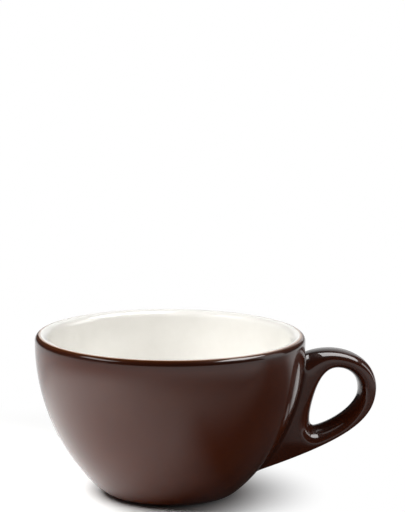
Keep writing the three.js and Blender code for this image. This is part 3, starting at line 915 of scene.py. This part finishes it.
def bare_clay(name, pale, grey):
    """Matt clay between a pale and a grey tone, with a fine grain."""
    material, tree, shader = new_material(name)
    link = tree.links.new
    place = node(tree, "ShaderNodeTexCoord")
    grain = node(tree, "ShaderNodeTexNoise", in_Scale=2600.0, in_Detail=3.0)
    rubbed = node(tree, "ShaderNodeTexNoise", in_Scale=260.0, in_Detail=6.0, in_Roughness=0.7)
    for texture in (grain, rubbed):
        link(place.outputs["Object"], texture.inputs["Vector"])
    tone = colour_ramp(tree, [(CLEAN, pale), (RUBBED, grey)])
    link(rubbed.outputs["Fac"], tone.inputs["Fac"])
    link(tone.outputs["Color"], shader.inputs["Base Color"])
    set_roughness(tree, shader, rubbed.outputs["Fac"], CLAY_ROUGHNESS)
    bump = node(tree, "ShaderNodeBump", in_Strength=0.6, in_Distance=GRAIN_DEPTH)
    link(grain.outputs["Fac"], bump.inputs["Height"])
    link(bump.outputs["Normal"], shader.inputs["Normal"])
    return material


porcelain = bare_clay("bare_porcelain", pale=(0.80, 0.76, 0.68), grey=(0.52, 0.48, 0.42))
slip = bare_clay("fired_slip", pale=(0.73, 0.67, 0.58), grey=(0.60, 0.54, 0.46))
print("clay materials:", porcelain.name, slip.name)

# %% [markdown]
# ## Dressing the frame
#
# Each new piece rides on the cup's one body and stands for the CAD piece that it replaces. The cast
# handle and the slip stay as the CAD made them, because the glaze hides them, and only get their
# material.

# %% Put the pieces on the frame
dressing = [
    (bowl_body, porcelain, "porcelain", "bowl"),
    (white_coat, white, "white_glaze", "inner_glaze"),
    (brown_coat, brown, "brown_glaze", "outer_glaze"),
    (handle_coat, brown, "brown_glaze", "handle_glaze"),
    (foot_coat, brown, "brown_glaze", "base_glaze"),
]
for piece, material, slot, replaced in dressing:
    piece.data.materials.append(material)
    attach(piece, "root")
    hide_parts(replaced)
for name, material in (("handle", porcelain), ("handle_slip", slip)):
    for material_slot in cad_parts[name].material_slots:
        material_slot.material = material
print(len(dressing), "pieces dress the cup")

# %% [markdown]
# ## Studio
#
# The floor is a plain pale sheet, large enough to fill the picture. Near the cup it is lit by a lamp of
# its own and takes the shadow. Further off it turns into an even white for the camera and for
# reflections, so that the picture has a white background without more light on the cup.

# %% Floor sheet
FLOOR_SIZE = 4.0  # from the middle to an edge
FLOOR_DROP = 0.0001  # just under the ring that the cup stands on
floor_bm = bmesh.new()
under_cup = Matrix.Translation((0, 0, -FLOOR_DROP))
bmesh.ops.create_grid(floor_bm, x_segments=1, y_segments=1, size=FLOOR_SIZE, matrix=under_cup)
floor = finished("floor", floor_bm)

# %% [markdown]
# Soft steps say where the floor turns white: far from the bowl's axis, behind the cup, and beside the
# handle. They could be a painted image, but a few distances are easier to change, and two helpers make
# and combine them.

# %% Floor paint
PALE_SHEET = (0.86, 0.86, 0.85, 1)
MATT = 0.9
WHITE_FAR = (0.16, 0.28)  # distance from the bowl's axis, where the white starts and where it is full
WHITE_BACK = (0.07, 0.15)  # y, the same behind the cup
WHITE_NEAR = (0.016, 0.060)  # distance again, beside the handle
NEAR_LEFT = (-0.02, 0.02)  # x, where that last stretch starts
NEAR_FRONT = (-0.120, -0.042)  # y, the same
SEEING_RAYS = ("Is Camera Ray", "Is Glossy Ray", "Is Transmission Ray")


def soft_step(tree, value, start, full):
    """A soft step from 0 at one value to 1 at another."""
    step = node(
        tree, "ShaderNodeMapRange", interpolation_type="SMOOTHSTEP",
        in_From_Min=start, in_From_Max=full,
    )
    tree.links.new(value, step.inputs["Value"])
    return step.outputs["Result"]


def combined(tree, operation, *values):
    """Several values put together, two at a time."""
    result = values[0]
    for value in values[1:]:
        pair = node(tree, "ShaderNodeMath", operation=operation)
        tree.links.new(result, pair.inputs[0])
        tree.links.new(value, pair.inputs[1])
        result = pair.outputs[0]
    return result


def floor_paint():
    """A matt pale sheet that turns into an even white away from the cup."""
    material, tree, shader = new_material("floor_paint")
    link = tree.links.new
    shader.inputs["Base Color"].default_value = PALE_SHEET
    shader.inputs["Roughness"].default_value = MATT
    shader.inputs["Specular IOR Level"].default_value = 0.0
    place = node(tree, "ShaderNodeTexCoord")
    split = node(tree, "ShaderNodeSeparateXYZ")
    link(place.outputs["Object"], split.inputs["Vector"])
    away = node(tree, "ShaderNodeVectorMath", operation="DISTANCE")
    away.inputs[1].default_value = AXIS
    link(place.outputs["Object"], away.inputs[0])
    path = node(tree, "ShaderNodeLightPath")
    near = combined(
        tree, "MULTIPLY",
        soft_step(tree, away.outputs["Value"], *WHITE_NEAR),
        soft_step(tree, split.outputs["X"], *NEAR_LEFT),
        soft_step(tree, split.outputs["Y"], *NEAR_FRONT),
    )
    background = combined(
        tree, "MAXIMUM", near,
        soft_step(tree, away.outputs["Value"], *WHITE_FAR),
        soft_step(tree, split.outputs["Y"], *WHITE_BACK),
    )
    seen = combined(tree, "MAXIMUM", *(path.outputs[kind] for kind in SEEING_RAYS))
    share = combined(tree, "MULTIPLY", seen, background)
    white_light = node(tree, "ShaderNodeEmission", in_Strength=1.0)
    blend = node(tree, "ShaderNodeMixShader")
    link(share, blend.inputs["Fac"])
    link(shader.outputs["BSDF"], blend.inputs[1])
    link(white_light.outputs["Emission"], blend.inputs[2])
    link(blend.outputs["Shader"], tree.nodes["Material Output"].inputs["Surface"])
    return material


floor.data.materials.append(floor_paint())
print("floor is white from", WHITE_FAR[1], "outwards")

# %% [markdown]
# The shaded side of the glossy wall reflects the floor beside it, where the cup's shadow falls, but the
# floor there turns white. So a black card lies there as a painted shadow: it shows in reflections only,
# and it is see-through towards its edges, so that its reflection has no hard border.

# %% Dark card, a painted shadow seen only in reflections
CARD_X = (-0.020, 0.012, 0.200, 0.450)  # edge, where it is fully dark, where it starts to fade, other edge
CARD_Y = (-0.135, -0.045, 0.020, 0.100)
CARD_HEIGHT = 0.0004
SHADOW_CARD_BLACK = (0.02, 0.02, 0.02, 1)
UNIT_GRID = 0.5  # create_grid measures from the middle, so this one is 1 across before it is scaled
card_middle = Matrix.Translation(((CARD_X[0] + CARD_X[3]) / 2, (CARD_Y[0] + CARD_Y[3]) / 2, CARD_HEIGHT))
card_size = Matrix.Diagonal((CARD_X[3] - CARD_X[0], CARD_Y[3] - CARD_Y[0], 1, 1))
card_bm = bmesh.new()
bmesh.ops.create_grid(card_bm, x_segments=1, y_segments=1, size=UNIT_GRID, matrix=card_middle @ card_size)
card = finished("painted_shadow_card", card_bm)
card.visible_camera = False
card.visible_diffuse = False
card.visible_shadow = False


def painted_shadow_paint():
    """Matt black painted shadow, see-through towards the edges."""
    material, tree, shader = new_material("painted_shadow_paint")
    link = tree.links.new
    shader.inputs["Base Color"].default_value = SHADOW_CARD_BLACK
    shader.inputs["Roughness"].default_value = MATT
    place = node(tree, "ShaderNodeTexCoord")
    split = node(tree, "ShaderNodeSeparateXYZ")
    link(place.outputs["Object"], split.inputs["Vector"])
    cover = combined(
        tree, "MULTIPLY",
        soft_step(tree, split.outputs["X"], CARD_X[0], CARD_X[1]),
        soft_step(tree, split.outputs["X"], CARD_X[3], CARD_X[2]),
        soft_step(tree, split.outputs["Y"], CARD_Y[0], CARD_Y[1]),
        soft_step(tree, split.outputs["Y"], CARD_Y[3], CARD_Y[2]),
    )
    link(cover, shader.inputs["Alpha"])
    return material


card.data.materials.append(painted_shadow_paint())

# %% [markdown]
# Soft lamps at both sides, behind and above give the brown its light, strongest from the left. A lamp's
# mirror image on a curved wall is a hard patch, so all of these are kept out of reflections. The pool
# lamp lights a patch of floor at the left, which the glossy wall shows as its long, soft shine. The white
# inside and the handle have lamps of their own.

# %% Lamps
CUP_MIDDLE = (0.0, 0.0, 0.03)
SIDE_SIZE = (0.80, 0.36)
INSIDE_SIZE = (0.40, 0.40)


def soft_lamp(name, place, aim, size, power, shows_in="diffuse"):
    """An area lamp at a place, aimed at a point, for diffuse light or for reflections."""
    lamp = bpy.data.lights.new(name, "AREA")
    lamp.shape = "RECTANGLE"
    lamp.size, lamp.size_y = size
    lamp.energy = power
    holder = bpy.data.objects.new(name, lamp)
    holder.location = place
    holder.rotation_euler = (Vector(aim) - Vector(place)).to_track_quat("-Z", "Y").to_euler()
    holder.visible_camera = False
    holder.visible_glossy = shows_in == "reflections"
    holder.visible_diffuse = shows_in == "diffuse"
    bpy.context.scene.collection.objects.link(holder)
    return holder


cup_lamps = [
    soft_lamp("key", (-1.30, -0.85, 0.20), CUP_MIDDLE, SIDE_SIZE, 15.5),
    soft_lamp("left_back", (-1.40, 0.70, 0.20), CUP_MIDDLE, SIDE_SIZE, 9.0),
    soft_lamp("right", (1.55, -0.28, 0.20), CUP_MIDDLE, SIDE_SIZE, 13.0),
    soft_lamp("right_back", (0.90, 1.30, 0.30), CUP_MIDDLE, (0.80, 0.50), 15.0),
    soft_lamp("top", (1.00, 0.20, 1.20), CUP_MIDDLE, (0.80, 0.60), 6.0),
]
pool_lamp = soft_lamp("pool", (-0.17, -0.027, 0.20), (-0.17, -0.027, 0.0), (0.12, 0.22), 1.34)
inside_lamps = [
    soft_lamp("inside_left", (-0.90, -0.10, 0.50), CUP_MIDDLE, INSIDE_SIZE, 4.1),
    soft_lamp("inside_right", (0.90, -0.10, 0.50), CUP_MIDDLE, INSIDE_SIZE, 4.0),
    soft_lamp("inside_front", (-0.22, -0.35, 0.68), CUP_MIDDLE, (0.70, 0.30), 4.8),
]
handle_lamp = soft_lamp("handle_front", (0.50, -1.40, 0.15), CUP_MIDDLE, SIDE_SIZE, 7.0)
print(len(cup_lamps), "lamps for the brown,", len(inside_lamps), "for the inside")

# %% [markdown]
# The crisp lights along the lip and the handle are images of long lamps. Strips overhead and panels at
# the sides and behind make them: they show in reflections and light nothing else. What suits the handle
# is too strong on the lip, so the wall has a shorter strip and a weaker panel instead of those at the
# right.

# %% Strips and panels
STRIP_Y, STRIP_HEIGHT, STRIP_WIDTH = -0.06, 0.62, 0.42
RIGHT_PLACE = (0.75, -0.02, 0.30)
RIGHT_AIM, LEFT_AIM = (0.06, 0.0, 0.05), (-0.06, 0.0, 0.05)
RIGHT_SIZE = (0.37, 0.50)


def strip(name, x, length, power):
    """A strip overhead, level and along x, that shows in reflections."""
    place = (x, STRIP_Y, STRIP_HEIGHT)
    return soft_lamp(name, place, (x, STRIP_Y, 0.0), (length, STRIP_WIDTH), power, "reflections")


strip("left_strip", -0.60, 0.30, 1.8)
right_strip = strip("right_strip", 0.30, 0.62, 8.6)
right_panel = soft_lamp("right_panel", RIGHT_PLACE, RIGHT_AIM, RIGHT_SIZE, 2.4, "reflections")
wall_strip = strip("wall_strip", 0.43, 0.36, 5.0)
wall_panel = soft_lamp("wall_panel", RIGHT_PLACE, RIGHT_AIM, RIGHT_SIZE, 0.8, "reflections")
soft_lamp("left_panel", (-1.00, -0.15, 0.22), LEFT_AIM, (0.80, 0.30), 0.2, "reflections")
soft_lamp("back_panel", (0.5, 1.6, 0.90), (0.5, 0.0, 0.05), (1.4, 1.6), 7.0, "reflections")
print(len(bpy.data.lights), "lamps in all")

# %% [markdown]
# A photographer shades one thing from a lamp that is meant for another with flags and cards. In Blender,
# light linking does that: a collection says which pieces a lamp reaches, or which it leaves out.

# %% Light linking
def link_lamps(lamps, pieces, state):
    """Lets lamps light only some pieces, or all but those."""
    group = bpy.data.collections.new(f"{state.lower()}_{pieces[0].name}")
    for piece in pieces:
        group.objects.link(piece)
    for member in group.collection_objects:
        member.light_linking.link_state = state
    for lamp in lamps:
        lamp.light_linking.receiver_collection = group
    print(state.lower(), [piece.name for piece in pieces], "for", [lamp.name for lamp in lamps])


link_lamps(cup_lamps, (floor, white_coat), "EXCLUDE")
link_lamps((pool_lamp,), (floor,), "INCLUDE")
link_lamps(inside_lamps, (white_coat,), "INCLUDE")
link_lamps((handle_lamp,), (handle_coat,), "INCLUDE")
link_lamps((right_strip, right_panel), (brown_coat,), "EXCLUDE")
link_lamps((wall_strip, wall_panel), (brown_coat,), "INCLUDE")

# %% [markdown]
# The world adds a faint, even light from all round, so that the deepest shadows stay open. The Standard
# view shows colours as they are written.

# %% World
WORLD_STRENGTH = 0.05
world = bpy.data.worlds.new("studio")
bpy.context.scene.world = world
world.use_nodes = True
sky = world.node_tree.nodes["Background"]
sky.inputs["Color"].default_value = (1, 1, 1, 1)
sky.inputs["Strength"].default_value = WORLD_STRENGTH
bpy.context.scene.view_settings.view_transform = "Standard"
print("view transform:", bpy.context.scene.view_settings.view_transform)

# %% [markdown]
# The camera looks down on the cup a little, with the handle's end turned slightly away. It is aimed at
# the cup's middle first and then turned a few degrees, which puts the cup low and left in the frame
# without a lens shift.

# %% Camera
FRAME_SIZE = (405, 512)
CUP_PIXEL = (170.5, 412.7)  # where the middle of the bowl shows in the frame
FOCAL_PIXELS = 2687
CAMERA_DISTANCE = 1.0
CAMERA_ELEVATION = math.radians(13.016)
HANDLE_TURN = math.radians(8)
CAMERA_ROLL = 0.004  # radians
SENSOR = 36  # height in millimetres

target = AXIS + Vector((0, 0, CUP_HEIGHT / 2))
away = Vector((-math.sin(HANDLE_TURN), -math.cos(HANDLE_TURN), 0)) * math.cos(CAMERA_ELEVATION)
away.z = math.sin(CAMERA_ELEVATION)
place = target + away * CAMERA_DISTANCE
aim = (-away).to_track_quat("-Z", "Y").to_matrix().to_4x4()
pitch = math.atan2(CUP_PIXEL[1] - FRAME_SIZE[1] / 2, FOCAL_PIXELS)
yaw = math.atan2(CUP_PIXEL[0] - FRAME_SIZE[0] / 2, FOCAL_PIXELS)
turn = Matrix.Rotation(pitch, 4, "X") @ Matrix.Rotation(yaw, 4, "Y") @ Matrix.Rotation(CAMERA_ROLL, 4, "Z")
camera_data = bpy.data.cameras.new("camera")
camera_data.sensor_fit = "VERTICAL"
camera_data.sensor_height = SENSOR
camera_data.lens = FOCAL_PIXELS * SENSOR / FRAME_SIZE[1]
camera = bpy.data.objects.new("camera", camera_data)
camera.matrix_world = Matrix.Translation(place) @ aim @ turn
bpy.context.scene.collection.objects.link(camera)
bpy.context.scene.camera = camera
print(f"lens {camera_data.lens:.1f}")

# %% [markdown]
# ## Finish

# %% Finish
bpy.context.view_layer.update()
